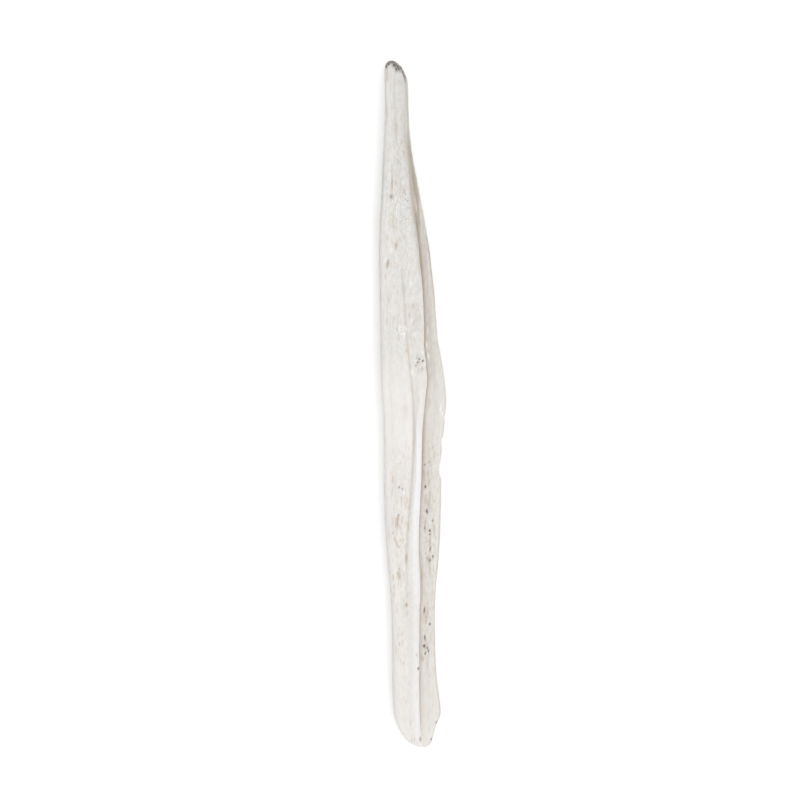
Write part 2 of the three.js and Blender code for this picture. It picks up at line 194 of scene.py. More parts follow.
# Marks on the bone: [from the base end, across, strength, half length, half width, lean]
boneMarks = {
    # open pores and nicks; the near-black inside them is painted shade
    "pits": [
        [36.88, 1.81, 1, 0.25, 0.13, 0], [33.4, 2.03, 1, 0.33, 0.12, -0.1],
        [30.7, 2.41, 1, 0.17, 0.15, 0], [30.2, 2.44, 0.85, 0.13, 0.12, 0],
        [31.1, 1.74, 0.5, 0.25, 0.1, 0], [32.1, 2.84, 0.65, 0.2, 0.1, 0],
        [27.05, 2.88, 0.9, 0.22, 0.12, 0], [28.1, 2.48, 0.75, 0.34, 0.1, 0.2],
        [26.5, 2.41, 0.7, 0.2, 0.14, 0], [26.8, 1.99, 0.4, 0.2, 0.1, 0], [27.5, 1.85, 0.3, 0.2, 0.09, 0],
        [19.5, 1.68, 0.75, 0.44, 0.1, 0.12], [18.5, 1.92, 0.4, 0.15, 0.1, 0],
        [17.5, 2.44, 0.9, 0.17, 0.13, 0], [15.6, 1.72, 0.75, 0.38, 0.09, 0],
        [14.4, 1.65, 1, 0.24, 0.13, 0], [14.1, 2.06, 0.75, 0.16, 0.12, 0],
        [13.7, 2.24, 0.7, 0.22, 0.1, 0], [13.35, 1.8, 0.8, 0.2, 0.11, 0.3],
        [11.45, 0.83, 0.85, 0.17, 0.12, 0], [36.9, -1.89, 0.8, 0.13, 0.12, 0],
        [36.7, -1.44, 0.6, 0.13, 0.14, 0], [33, -1.96, 0.6, 0.17, 0.13, 0],
        [54.85, 0.95, 0.9, 0.12, 0.14, 0], [54.6, 1.4, 1, 0.15, 0.15, 0], [54.4, 0.7, 0.9, 0.12, 0.14, 0],
        [53.95, 0.44, 0.6, 0.2, 0.11, 0.3], [55, 0.6, 0.45, 0.13, 0.1, 0],
        [53.5, 1.35, 0.3, 0.18, 0.14, 0], [40, 1.75, 0.65, 0.17, 0.11, 0],
        [40.4, 2.34, 0.4, 0.24, 0.11, 0], [3.6, 3.46, 0.6, 0.18, 0.2, 0], [1.15, 2.76, 0.65, 0.2, 0.2, 0],
        [77.7, -2.98, 0.62, 0.3, 0.28, 0], [76.9, -0.68, 0.55, 0.3, 0.1, -0.7],
        [77.3, -0.95, 0.45, 0.2, 0.1, -0.7],
    ],
    # fine grey or brown streaks that run with the grain
    "streaks": [
        [38.1, -2.85, 0.6, 0.45, 0.08, 0.1], [30.5, -2.74, 0.7, 0.24, 0.13, 0],
        [31.6, -2.74, 0.35, 0.9, 0.09, 0], [29.5, -1.75, 0.6, 0.22, 0.1, 0],
        [29.6, -1.26, 0.5, 0.26, 0.1, 0], [35.2, -0.84, 0.5, 0.5, 0.1, -0.25],
        [34.1, -0.56, 0.5, 0.45, 0.1, -0.25], [35.0, -1.56, 0.5, 0.85, 0.1, 0],
        [32.4, -1.45, 0.4, 0.6, 0.12, 0], [25.4, -1.9, 0.7, 0.26, 0.14, 0],
        [24.9, -2.08, 0.6, 0.22, 0.14, 0], [24.3, -1.8, 0.5, 0.3, 0.12, 0],
        [27.0, -0.9, 0.5, 0.5, 0.16, 0], [20.4, -0.87, 0.7, 0.22, 0.16, 0],
        [14.85, -1.85, 0.65, 0.28, 0.1, 0], [16.1, -2.03, 0.45, 0.38, 0.12, 0],
        [13.4, 0.55, 0.4, 0.25, 0.16, 0], [76.1, -0.5, 0.5, 0.12, 0.24, 0],
        [78.4, -1.15, 0.5, 0.2, 0.14, 0], [79.2, -1.0, 0.35, 0.3, 0.12, 0.3],
        [63.5, -3.44, 0.4, 0.1, 0.3, 0], [62.3, 0.04, 0.4, 0.25, 0.16, 0],
        [61.8, 0.75, 0.4, 0.22, 0.16, 0], [57.6, 0.23, 0.4, 0.28, 0.13, 0],
        [56.75, -0.13, 0.35, 0.16, 0.16, 0], [49.0, 0.79, 0.35, 0.15, 0.16, 0],
        [36.0, 2.48, 0.55, 0.22, 0.15, 0], [37.7, 2.34, 0.5, 0.5, 0.1, 0], [38.6, 2.1, 0.4, 0.6, 0.1, 0],
        [31.9, 1.8, 0.7, 0.75, 0.1, 0.1], [31.0, 2.97, 0.65, 1.1, 0.09, -0.1],
        [29.4, 2.45, 0.5, 0.6, 0.1, 0], [25.0, 2.45, 0.4, 0.5, 0.12, 0], [34.6, 2.25, 0.45, 0.5, 0.12, 0],
        [11.9, 2.06, 0.4, 0.3, 0.13, -0.2], [12.6, 1.5, 0.5, 0.35, 0.14, 0.2],
        [1.15, -0.1, 0.5, 0.35, 0.1, 0], [1.3, 0.3, 0.45, 0.28, 0.1, 0], [1.3, 1.12, 0.85, 0.34, 0.14, 0],
        [3.7, -0.27, 0.3, 0.6, 0.12, 0], [85.0, -1.5, 0.4, 0.5, 0.1, -0.25],
        [87.5, -2.2, 0.3, 0.6, 0.1, 0.2], [90.2, -2.9, 0.3, 0.6, 0.1, 0.1],
        [82.5, -1.9, 0.35, 0.5, 0.11, -0.3], [80.4, -1.4, 0.4, 0.4, 0.12, 0.3],
        [83.6, -1.2, 0.35, 0.5, 0.1, 0.2], [88.6, -1.6, 0.3, 0.4, 0.11, 0],
        [73.4, -2.6, 0.3, 0.6, 0.11, 0], [66.5, -3.8, 0.45, 0.35, 0.14, 0],
        [63.0, -3.4, 0.35, 0.5, 0.12, 0], [60.0, -3.6, 0.3, 0.5, 0.12, 0],
        [32.6, -1.98, 0.7, 0.35, 0.09, 0], [31.6, -2.34, 0.55, 0.8, 0.08, 0],
        [31.3, -1.9, 0.45, 0.6, 0.08, 0], [29.6, -2.55, 0.5, 0.4, 0.08, -0.2],
        [28.7, -2.15, 0.5, 0.35, 0.08, -0.6], [70.9, -2.3, 0.6, 0.22, 0.1, 0],
        [68.5, -3.42, 0.7, 0.3, 0.1, 0.1], [67.7, -3.6, 0.5, 0.25, 0.1, 0.1],
        [79.4, -2.9, 0.8, 1.1, 0.08, 0], [81.6, -3.05, 0.3, 0.8, 0.08, 0],
        [80.0, -0.31, 0.85, 2.6, 0.07, -0.088], [80.0, 0.03, 0.6, 3.0, 0.07, -0.126],
        [86.0, -0.95, 0.5, 1.6, 0.07, -0.1], [84.8, -1.75, 0.55, 0.9, 0.07, 0.3],
        [83.4, -1.2, 0.55, 0.8, 0.07, -0.35], [82.0, -1.6, 0.5, 0.8, 0.07, -0.4],
        [78.9, -1.35, 0.6, 0.6, 0.08, -0.6], [77.9, -0.9, 0.6, 0.5, 0.08, -0.7],
        [76.0, -0.9, 0.4, 0.6, 0.08, -0.3], [81.3, -0.9, 0.5, 0.9, 0.07, -0.2],
        [76.4, -2.42, 0.5, 0.8, 0.08, 0], [74.4, -2.3, 0.5, 0.7, 0.08, 0],
        [24.5, -1.95, 0.45, 0.6, 0.09, 0], [26.9, -0.92, 0.45, 0.5, 0.08, 0],
        [22.7, -1.0, 0.3, 0.5, 0.1, 0], [76.8, 0.12, 0.5, 1.1, 0.07, -0.17],
        [78.3, -0.1, 0.4, 1.2, 0.06, -0.1], [36.4, -1.0, 0.35, 0.8, 0.08, 0],
        [35.6, -1.25, 0.35, 0.9, 0.08, 0], [34.4, -0.95, 0.35, 0.7, 0.08, -0.1],
        [37.4, -2.4, 0.3, 0.9, 0.08, 0], [36.4, -2.85, 0.3, 0.8, 0.09, 0.05],
        [33.8, -2.6, 0.3, 0.9, 0.08, 0],
    ],
    # soft brown patches, only colour
    "browns": [
        [70.7, -2.31, 1.2, 0.48, 0.2, 0], [68.2, -3.5, 1.2, 0.6, 0.23, 0.08],
        [71.7, -3.58, 0.5, 0.4, 0.24, 0], [78.3, -1.19, 0.6, 0.4, 0.22, 0],
        [79.6, -2.85, 0.85, 1.5, 0.1, 0], [74.6, -2.75, 0.4, 1.2, 0.14, 0.05],
        [94.9, -3.6, 0.6, 1.1, 0.18, 0], [53.4, 1.15, 0.35, 0.4, 0.45, 0], [55.3, 0.79, 0.6, 0.3, 0.2, 0],
        [59.0, -2.17, 0.6, 0.26, 0.18, 0], [59.7, 0.16, 0.4, 0.3, 0.25, 0],
        [62.1, 0.16, 0.4, 0.32, 0.3, 0], [61.0, -0.48, 0.45, 0.3, 0.2, 0],
        [56.0, -0.86, 0.5, 0.24, 0.2, 0], [60.8, 0.8, 0.35, 0.28, 0.22, 0],
        [48.8, 2.4, 0.35, 0.55, 0.25, 0], [35.0, 1.9, 0.8, 0.8, 0.24, 0], [38.5, 1.65, 0.8, 1.1, 0.13, 0],
        [34.3, 2.3, 0.5, 0.5, 0.12, 0], [38.0, -2.7, 0.2, 0.9, 0.3, 0], [32.0, -2.13, 1.3, 0.9, 0.14, 0],
        [29.3, -2.3, 0.6, 0.75, 0.16, -0.35], [28.6, -1.9, 0.6, 0.3, 0.2, 0],
        [32.4, -2.3, 0.5, 0.5, 0.25, 0.1], [31.3, -0.6, 0.6, 0.7, 0.14, 0],
        [26.8, -0.9, 0.8, 0.9, 0.16, 0], [24.2, -2.74, 0.6, 0.45, 0.18, 0],
        [24.5, -1.95, 0.6, 0.6, 0.3, 0], [21.8, -2.6, 0.4, 0.35, 0.2, 0], [20.4, -0.9, 0.8, 0.35, 0.2, 0],
        [19.2, -0.9, 0.4, 0.6, 0.25, 0], [12.9, 1.28, 0.9, 0.75, 0.13, 0], [14.6, 1.35, 0.5, 1.4, 0.1, 0],
        [11.45, 0.85, 0.9, 0.26, 0.18, 0], [14.2, 2.0, 0.4, 0.9, 0.3, 0], [30.9, 1.75, 0.6, 0.5, 0.14, 0],
        [30.4, 2.1, 0.5, 0.3, 0.2, 0], [26.6, 2.3, 0.5, 0.7, 0.25, 0], [28.9, 2.5, 0.6, 0.7, 0.14, 0],
        [19.0, 1.8, 0.5, 0.9, 0.22, 0], [47.5, -0.9, 0.3, 1.2, 0.35, 0], [89.5, -3.6, 0.4, 1.4, 0.16, 0],
        [87.0, -2.3, 0.3, 1.2, 0.3, 0], [1.3, 1.12, 0.8, 0.4, 0.2, 0], [53.9, 0.95, 0.3, 1.2, 0.45, 0],
        [24.5, 1.33, 0.9, 1.6, 0.13, 0], [26.6, 1.25, 0.6, 0.8, 0.12, 0], [22.0, 1.38, 0.5, 1.2, 0.1, 0],
        [60.6, 0.4, 0.25, 2.4, 0.8, 0], [45.5, 1.75, 0.5, 1.4, 0.14, 0],
    ],
    # dried residue at the tip
    "tip": [
        [96.6, -2.95, 1.0, 0.26, 0.66, 0], [96.2, -2.45, 1.0, 0.42, 0.45, 0],
        [96.0, -2.05, 1.0, 0.42, 0.32, 0], [95.6, -2.25, 1.0, 0.42, 0.22, 0],
        [95.7, -1.9, 1.0, 0.5, 0.22, -0.3], [95.85, -1.7, 1.0, 0.42, 0.2, -0.45],
        [95.3, -1.45, 1.0, 0.5, 0.18, -0.45], [94.7, -1.2, 0.9, 0.5, 0.16, -0.4],
        [94.1, -1.02, 0.5, 0.4, 0.13, -0.2], [96.05, -3.7, 1.0, 0.32, 0.22, 0],
        [96.35, -3.4, 1.0, 0.26, 0.28, 0], [96.4, -2.1, 1.0, 0.26, 0.32, 0],
    ],
}

# How strong the long stains, painted light and painted shade are at places along the bone: [from the base
# end, strength]
boneStainsAndPaintedLight = {
    # dirt and painted shade along the groove, strongest under the near lip
    "grooveLine": [
        [0, 0.0], [2.4, 0.2], [4, 0.5], [12, 0.75], [20, 0.75], [27, 0.6], [32, 0.7], [36, 1.0],
        [40, 1.25], [45, 1.1], [49, 0.8], [52, 1.25], [58, 1.25], [64, 1.2], [69, 1.45], [74, 1.3],
        [78, 0.6], [81, 0.1], [84, 0.0],
    ],
    "grooveLineWidth": [
        [0, 0.3], [14, 0.28], [30, 0.26], [42, 0.34], [50, 0.26], [56, 0.3], [65, 0.36], [70, 0.46],
        [75, 0.46], [96, 0.36],
    ],
    # dirt and painted shade in the open end of the groove near the tip: [from the base end, across,
    # strength, half width]
    "openGroove": [
        [71.0, 0.95, 0.0, 0.2], [73.5, 0.8, 0.7, 0.3], [75.0, 0.8, 0.9, 0.26], [76.0, 0.8, 1.0, 0.18],
        [77.4, 0.62, 1.0, 0.24], [78.8, 0.45, 1.0, 0.34], [81.6, -0.05, 1.0, 0.36],
        [84.4, -0.5, 1.0, 0.32], [86.0, -0.62, 0.7, 0.2], [88.0, -0.72, 0.45, 0.16],
        [91.0, -0.75, 0.5, 0.16], [94.0, -1.0, 0.3, 0.2],
    ],
    # olive tint and painted shade on the far wall inside the groove
    "farWall": [
        [0, 0.1], [20, 0.1], [30, 0], [52, 0], [57, 0.2], [62, 0.3], [70, 0.15], [76, 0.4], [80, 0.75],
        [84, 0.5], [88, 0.1],
    ],
    # painted light: the flank is made lighter next to the back edge
    "flankEdgeLight": [
        [2, 0.4], [12, 0.4], [20, 0.5], [30, 0.5], [36, 0.65], [44, 0.95], [50, 1.15], [55, 0.5],
        [62, 0.55], [70, 0.55], [80, 0.2], [88, 0.25], [94, 0.25],
    ],
    "flankTopStart": 0.25,
    "flankLightReach": 1.1,
    # shade on the rounded edge of the near lip, towards the tip
    "lipShade": [
        [64, 0.0], [67, 0.35], [71, 0.45], [75, 0.6], [79, 0.5], [84, 0.5], [90, 0.3], [94, 0.0],
    ],
    "lipShadeReach": 0.36,
    # painted shade along the outline of the far lip
    "rim": [
        [0, 0.1], [2.5, 0.5], [5, 0.7], [28, 0.8], [36, 0.5], [50, 0.45], [58, 0.5], [63, 1.0], [67, 2.0],
        [70, 2.0], [73, 0.9], [80, 0.6], [96, 0.4],
    ],
    "rimReach": 0.13,
    "valley": [
        [17, 0.0], [24, 0.5], [30, 0.8], [36, 1.0], [46, 1.1], [53, 1.0], [60, 0.9], [66, 0.85], [71, 0],
    ],
    "valleyWidth": 0.16,
    # painted highlight along the crest
    "crest": [
        [2.5, 0.6], [8, 0.6], [14, 0.45], [19.5, 0.35], [25, 0.65], [32, 0.8], [36, 1.0], [42, 1.0],
        [45, 0.6], [48, 0.2], [53, 0],
    ],
    "uneven": [
        [0, 0.5], [12, 0.6], [20, 1.05], [30, 1.2], [42, 1.0], [45, 0.5], [51, 0.6], [56, 0.85],
        [66, 0.95], [72, 1.2], [75, 1.9], [84, 1.9], [88, 1.5], [96, 1.3],
    ],
    "flankPale": [[20, 0.0], [40, 0.2], [44, 0.8], [50, 0.8], [53, 0.3], [56, 0.0]],
    "tipGrey": [[54, 0.0], [60, 0.05], [66, 0.1], [76, 0.4], [86, 0.8], [96, 1.0]],
    "rosy": [[0, 0.5], [12, 0.8], [36, 0.8], [50, 0.5], [55, 0.0]],
    # painted shade along the back edge
    "backEdge": [
        [0, 0.2], [12, 0.2], [24, 0.0], [48, 0.0], [56, 0.35], [66, 0.7], [80, 0.7], [88, 0.1], [96, 0.1],
    ],
    "backEdgeWidth": 0.16,
    "flankLightFade": 1.5,    # how sharply the painted light on the flank ends
    "flankPaleShare": 0.4,
    "crestShift": 0.12,    # the painted highlight on the crest lies this far nearer to the lip than halfway
    "crestNarrowing": 1.1,
    "unevenTop": 2,    # the table is divided by this for its mask
}


def easedPlace(along):
    # runs fast near both ends, so lines that meet there make a round end
    return np.arccos(1 - 2 * np.clip(np.asarray(along, float) / boneShape["length"], 0, 1))


def readLine(points, along):
    # smooth curve through the points, read at many places at once
    table = np.array(points, float)
    places, values = easedPlace(table[:, 0]), table[:, 1:]
    slopes = np.empty_like(values)
    slopes[1:-1] = (values[2:] - values[:-2]) / (places[2:] - places[:-2])[:, None]
    slopes[0] = (values[1] - values[0]) / (places[1] - places[0])
    slopes[-1] = (values[-1] - values[-2]) / (places[-1] - places[-2])
    here = easedPlace(along)
    left = np.clip(np.searchsorted(places, here) - 1, 0, len(places) - 2)
    span = (places[left + 1] - places[left])[:, None]
    share = (here - places[left])[:, None] / span
    square, cube = share**2, share**3
    return (
        values[left] * (2 * cube - 3 * square + 1)
        + slopes[left] * span * (cube - 2 * square + share)
        + values[left + 1] * (3 * square - 2 * cube)
        + slopes[left + 1] * span * (cube - square)
    )


def lineAt(name, along):
    return readLine([boneShape["baseEnd"], *boneShape[name], boneShape["tipEnd"]], along)


def hump(distance):
    return np.exp(-distance * distance)


def mixed(start, end, share):
    return start + (end - start) * share


def guidesAt(along):
    # the lines in their order round the bone: flank, crest, groove, far lip, underside
    back, low, lip = lineAt("backEdge", along), lineAt("valley", along), lineAt("farLip", along)
    for place, depth, halfWidth in boneShape["lipChips"]:
        lip[:, 0] -= depth * hump((along - place) / halfWidth)
    flank = [
        np.stack([mixed(back[:, 0], low[:, 0], across), mixed(back[:, 1], low[:, 1], up)], 1)
        for across, up in boneShape["flankShape"]
    ]
    wall = lineAt("farWall", along)
    lipTop = mixed(wall, lip, boneShape["farLipTopShare"])
    lipTop[:, 1] += boneShape["farLipSwell"] * (lip[:, 0] - wall[:, 0])
    floorHeight = readLine(boneShape["undersideHeight"], along)[:, 0]
    tuck = boneShape["farLipTuck"] * np.minimum(1, np.sin(easedPlace(along)) * boneShape["endGrowth"])
    lipHeight = np.maximum(lip[:, 1] - floorHeight, boneShape["leastHeight"])
    edgeShare = np.minimum(boneShape["farLipMostShare"], boneShape["farLipThickness"] / lipHeight)
    outerEdge = np.stack([lip[:, 0] - tuck, mixed(lip[:, 1], floorHeight, edgeShare)], 1)
    underside = []
    for across, down in boneShape["undersideShape"]:
        sideHeight = back[:, 1] if across > boneShape["undersideMiddle"] else lip[:, 1]
        sidePlace = mixed(lip[:, 0], back[:, 0], across)
        underside.append(np.stack([sidePlace, mixed(sideHeight, floorHeight, down)], 1))
    inner = [lineAt(name, along) for name in ("crest", "nearLip", "nearWall", "grooveBack")]
    return np.stack([back, *flank, low, *inner, wall, lipTop, lip, outerEdge, *underside], 1)


def roundSection(guides):
    # closed smooth curve through the guide points of every ring
    before, start = np.roll(guides, 1, 1), guides
    end, after = np.roll(guides, -1, 1), np.roll(guides, -2, 1)

    def reach(a, b):
        return np.maximum(((a - b) ** 2).sum(2), tinyGap)[..., None] ** boneShape["curveEase"]

    near, middle, far = reach(before, start), reach(start, end), reach(end, after)
    leave = ((start - before) / near - (end - before) / (near + middle) + (end - start) / middle) * middle
    arrive = ((end - start) / middle - (after - start) / (middle + far) + (after - end) / far) * middle
    columns = []
    for index, steps in enumerate(boneShape["pointsAround"]):
        a, b, c, d = start[:, index], end[:, index], leave[:, index], arrive[:, index]
        for step in range(steps):
            t = step / steps
            columns.append(a + c * t + (3 * b - 3 * a - 2 * c - d) * t**2 + (2 * a - 2 * b + c + d) * t**3)
    return np.stack(columns, 1)


def ringPlaces():
    places, reached = [], 0.0
    for upTo, count in boneShape["rings"]:
        angles = np.linspace(easedPlace(reached), easedPlace(upTo), count + 1)[1:]
        places.extend(boneShape["length"] * (1 - np.cos(angles)) / 2)
        reached = upTo
    return np.array(places[:-1])


def skinNormals(grid):
    around = np.roll(grid, -1, 1) - np.roll(grid, 1, 1)
    lengthwise = np.gradient(grid, axis=0)
    normals = np.cross(around, lengthwise)
    return normals / np.maximum(np.linalg.norm(normals, axis=2, keepdims=True), tinyLength)


def noiseOver(spots, across, along, shift=0.0):
    # one soft noise value for each point, stretched along the bone
    stretched = (spots / [across, along, across] + shift).reshape(-1, 3)
    return np.array([noise.noise(Vector(spot)) for spot in stretched]).reshape(spots.shape[:2])


def markOver(grid, place, side, halfLength, halfWidth, lean=0.0, axis=0):
    # a soft spot: 1 in its middle, stretched along the bone and leaning
    away = grid[..., 1] - place
    aside = grid[..., axis] - side - lean * away
    away, aside = away / halfLength, aside / halfWidth
    return np.exp(-((away**2 + aside**2) ** boneRelief["markEdge"]))


def drawHairlines(patches, draw):
    size = boneRelief["hairlineSize"]
    return [
        [
            draw.uniform(*patch["along"]), draw.uniform(*patch["across"]), draw.uniform(*patch["dark"]),
            draw.uniform(*size["halfLength"]), draw.uniform(*size["halfWidth"]), draw.uniform(*size["lean"]),
        ]
        for patch in patches
        for _ in range(patch["count"])
    ]


def makeBoneMesh():
    along = ringPlaces()
    section = roundSection(guidesAt(along))
    rounding = boneShape["bellyRound"]
    height = (section[..., 1] + np.sqrt(section[..., 1] ** 2 + rounding**2)) / 2
    height = np.where(section[..., 1] > boneShape["bellyTop"], section[..., 1], height)
    grid = np.stack([section[..., 0], np.repeat(along[:, None], section.shape[1], 1), height], 2)

    columnsTo = np.cumsum([0, *boneShape["pointsAround"]])
    column = np.arange(section.shape[1])[None, :]
    nearLip, farLip, outerEdge = (columnsTo[number] for number in boneShape["guideNumbers"].values())
    onFlank = column <= nearLip
    inGroove = (column > nearLip) & (column <= farLip)
    onTop = onFlank | inGroove

    def strengthAt(name, index=1):
        # one value of a long stain at every ring
        table = np.array(boneStainsAndPaintedLight[name], float)
        return np.interp(along, table[:, 0], table[:, index])[:, None]

    lipLine = lineAt("nearLip", along)[:, :1]
    valleyLine = lineAt("valley", along)[:, :1]

    normals = skinNormals(grid)
    facingUp = np.clip(normals[..., 2] / boneRelief["steepest"], 0, 1)
    facingBack = np.clip(-normals[..., 0], 0, 1) ** boneRelief["sideFade"]

    def marksOver(marks, shown=facingUp):
        # darkest mark at each point, kept to the side of the near lip that it lies on
        cover = np.zeros(grid.shape[:2])
        for place, side, strength, halfLength, halfWidth, lean in marks:
            zone = onFlank if side < np.interp(place, along, lipLine[:, 0]) else inGroove
            mark = markOver(grid, place, side, halfLength, halfWidth, lean)
            cover = np.maximum(cover, strength * zone * mark)
        return cover * shown

    relief = np.zeros(grid.shape[:2])
    for index, layer in enumerate(("swell", "lumps", "fibres", "grain")):
        values = boneRelief[layer]
        amount = strengthAt("uneven") if layer in ("fibres", "grain") else 1
        shift = boneRelief["noiseShift"] * index
        relief += values["height"] * amount * noiseOver(grid, values["across"], values["along"], shift)
    for place, side, rise, halfLength, halfWidth in boneRelief["bumps"]:
        relief += rise * markOver(grid, place, side, halfLength, halfWidth) * onTop

    draw = np.random.default_rng(boneRelief["seed"])
    pits = marksOver(boneMarks["pits"])
    streaks = marksOver(boneMarks["streaks"] + drawHairlines(boneRelief["hairlines"], draw))
    for place, up, strength, halfLength, halfWidth, lean in drawHairlines(boneRelief["sideHairlines"], draw):
        mark = markOver(grid, place, up, halfLength, halfWidth, lean, axis=2)
        streaks = np.maximum(streaks, strength * facingBack * mark)
    flakeRise = marksOver(boneRelief["flakes"])
    flakePale = flakeRise / max(flake[2] for flake in boneRelief["flakes"])
    scar = boneRelief["scarRing"]
    awayFromScar, besideScar = grid[..., 1] - scar["place"], grid[..., 0] - scar["across"]
    fromScar = np.hypot(awayFromScar, besideScar)
    aroundScar = np.arctan2(awayFromScar, besideScar)
    broken = 1 - scar["gapDepth"] + scar["gapDepth"] * np.sin(scar["gaps"] * aroundScar)
    scarRim = hump((fromScar - scar["radius"]) / scar["rim"]) * broken * onFlank
    scarRim = np.maximum(scarRim, scar["coreShare"] * hump(fromScar / scar["core"]) * onFlank)
    relief += flakeRise + scar["height"] * scarRim
    relief -= boneRelief["pitDepth"] * pits + boneRelief["streakDepth"] * streaks

    grid = grid + normals * relief[..., None]
    grid[..., 2] = np.maximum(grid[..., 2], 0)

    # dirt and painted shade under the near lip and down the open end of the groove
    fromLip = np.maximum(grid[..., 0] - lipLine, 0)
    grooveDirtAndShade = hump(fromLip / strengthAt("grooveLineWidth")) * inGroove * strengthAt("grooveLine")
    openAcross = (grid[..., 0] - strengthAt("openGroove", 1)) / strengthAt("openGroove", 3)
    grooveEndDirtAndShade = hump(openAcross) * (inGroove | (column <= outerEdge) & ~onFlank) * strengthAt("openGroove", 2)
    # painted shade along the outline of the far lip and along the back edge
    outline = lineAt("farLip", along)[:, :1]
    paintedEdgeShade = hump((outline - grid[..., 0]) / boneStainsAndPaintedLight["rimReach"])
    paintedEdgeShade = paintedEdgeShade * (column <= outerEdge) * strengthAt("rim")
    backLine = lineAt("backEdge", along)[:, :1]
    backEdgeShade = hump((grid[..., 0] - backLine) / boneStainsAndPaintedLight["backEdgeWidth"]) * strengthAt("backEdge")

    # painted highlight along the crest
    crestMiddle = (valleyLine + lipLine) / 2 + boneStainsAndPaintedLight["crestShift"]
    crestHalf = (lipLine - valleyLine) / 2
    fromCrest = (grid[..., 0] - crestMiddle) / crestHalf
    paintedCrestHighlight = hump(fromCrest**2 * boneStainsAndPaintedLight["crestNarrowing"]) * onFlank * strengthAt("crest")
    # painted light on the flank next to the back edge
    fromBack = np.maximum(grid[..., 0] - backLine, 0)
    onFlankTop = onFlank * np.clip(fromBack / boneStainsAndPaintedLight["flankTopStart"], 0, 1)
    flankEdgeLight = hump((fromBack / boneStainsAndPaintedLight["flankLightReach"]) ** boneStainsAndPaintedLight["flankLightFade"])
    flankEdgeLight = flankEdgeLight * onFlankTop * strengthAt("flankEdgeLight")
    flankPale = onFlankTop * (grid[..., 0] < valleyLine) * strengthAt("flankPale")
    lipShade = hump((lipLine - grid[..., 0]) / boneStainsAndPaintedLight["lipShadeReach"])
    lipShade = lipShade * onFlank * strengthAt("lipShade")

    valleyTone = hump((grid[..., 0] - valleyLine) / boneStainsAndPaintedLight["valleyWidth"])

    masks = {
        "pits": pits,
        "streaks": streaks,
        "browns": marksOver(boneMarks["browns"]),
        "pale": np.clip(flakePale + scar["paleShare"] * scarRim, 0, 1),
        "grooveDirtAndShade": grooveDirtAndShade,
        # dirt and painted shade at the groove's open end, joined by the painted shade on the near lip's edge
        "grooveEndDirtAndShade": np.maximum(grooveEndDirtAndShade, lipShade),
        # olive tint and painted shade inside the groove
        "farWallTintAndShade": inGroove * strengthAt("farWall"),
        "paintedEdgeShade": np.maximum(paintedEdgeShade, backEdgeShade),
        "valleyTone": valleyTone * onFlank * strengthAt("valley"),
        "paintedCrestHighlight": paintedCrestHighlight,
        "flankEdgeLightAndPale": np.maximum(flankEdgeLight, boneStainsAndPaintedLight["flankPaleShare"] * flankPale),
        "tipGrey": strengthAt("tipGrey") * np.ones(grid.shape[:2]),
        "rosyTone": strengthAt("rosy") * np.ones(grid.shape[:2]),
        "uneven": strengthAt("uneven") / boneStainsAndPaintedLight["unevenTop"] * np.ones(grid.shape[:2]),
        "tipResidue": marksOver(boneMarks["tip"], shown=1),
    }
    return grid, masks


def addBone():
    grid, masks = makeBoneMesh()
    rings, around = grid.shape[:2]
    low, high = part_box("baculum")
    middle = (low + high) / 2 / mm
    lipRun = np.linspace(*boneShape["outlineRun"])
    farLip = boneShape["guideNumbers"]["farLip"]
    sides = [lineAt("backEdge", lipRun)[:, 0].min(), guidesAt(lipRun)[:, farLip, 0].max()]
    shift = np.array([middle.x - sum(sides) / 2, middle.y - boneShape["length"] / 2, low.z / mm])

    ends = [boneShape["baseEnd"], boneShape["tipEnd"]]
    endPoints = [np.array([end[1], end[0], end[2]]) for end in ends]
    points = (np.vstack([endPoints[0], grid.reshape(-1, 3), endPoints[1]]) + shift) * mm

    faces = []
    last = len(points) - 1
    for side in range(around):
        nextSide = (side + 1) % around
        faces.append((0, 1 + nextSide, 1 + side))
        faces.append((last, last - around + side, last - around + nextSide))
    for ring in range(rings - 1):
        row = 1 + ring * around
        for side in range(around):
            nextSide = (side + 1) % around
            faces.append((row + side, row + nextSide, row + around + nextSide, row + around + side))

    mesh = bpy.data.meshes.new("wolfBaculum")
    mesh.from_pydata(points.tolist(), [], faces)
    mesh.validate()
    mesh.polygons.foreach_set("use_smooth", [True] * len(mesh.polygons))
    for name, values in masks.items():
        attribute = mesh.attributes.new(name, "FLOAT", "POINT")
        attribute.data.foreach_set("value", [0.0, *values.ravel().tolist(), 0.0])
    mesh.update()
    bone = bpy.data.objects.new("wolfBaculum", mesh)
    bpy.context.scene.collection.objects.link(bone)
    return bone


